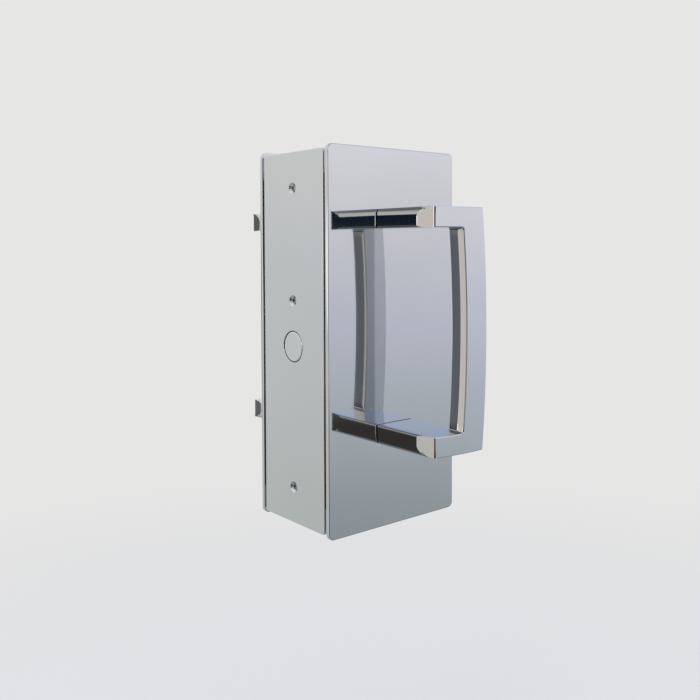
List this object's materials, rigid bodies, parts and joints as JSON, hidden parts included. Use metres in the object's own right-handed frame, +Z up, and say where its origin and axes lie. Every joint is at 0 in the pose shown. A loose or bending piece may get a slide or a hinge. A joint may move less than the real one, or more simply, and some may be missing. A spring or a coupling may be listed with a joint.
{
  "type": "pocket door pull",
  "caption": "Edge-cased pocket door pull: polished face plates and edge plate on a cast case, an arched C-shaped grip on each face and a round magnetic latch bolt.",
  "frame": {"origin": "middle of the case's back face, which seats on the bottom of the door's notch", "axes": "+X into the door, -Y out of the near face of the door, +Z up"},
  "size_m": [0.0705, 0.1178, 0.1588],
  "materials": {
    "polished_chrome": "bright mirror-polished chrome plate",
    "polished_steel": "mirror-polished stainless sheet",
    "cast_case": "as-cast, lightly tumbled",
    "screw_steel": "plain stainless",
    "insert_brass": "knurled brass",
    "spring_steel": "bright drawn wire and strip",
    "magnet_nickel": "nickel plate",
    "guide_plastic": "moulded acetal",
    "buffer_rubber": "soft rubber"
  },
  "bodies": {
    "case": {"chassis": "cast_case", "edge_plate": "polished_steel", "near_face_plate": "polished_steel", "far_face_plate": "polished_steel", "near_pull": "polished_chrome", "far_pull": "polished_chrome", "near_pull_screws": "screw_steel", "near_pull_washers": "screw_steel", "far_pull_screws": "screw_steel", "far_pull_washers": "screw_steel", "edge_screws": "screw_steel", "edge_screw_inserts": "insert_brass", "bolt_guide": "guide_plastic", "bolt_buffer": "buffer_rubber", "bolt_spring": "spring_steel", "guide_cap": "guide_plastic", "guide_cap_screws": "screw_steel"},
    "bolt": {"latch_bolt": "polished_chrome", "bolt_magnet": "magnet_nickel", "bolt_clip": "spring_steel", "spring_seat": "screw_steel"}
  },
  "joints": [
    {"name": "latch_bolt_slide", "type": "slide", "parent": "case", "child": "bolt", "axis": [-1, 0, 0], "range_m": [0, 0.009], "stiffness_N_per_m": 20, "springref_m": -0.004, "deforming": ["bolt_spring"]}
  ]
}
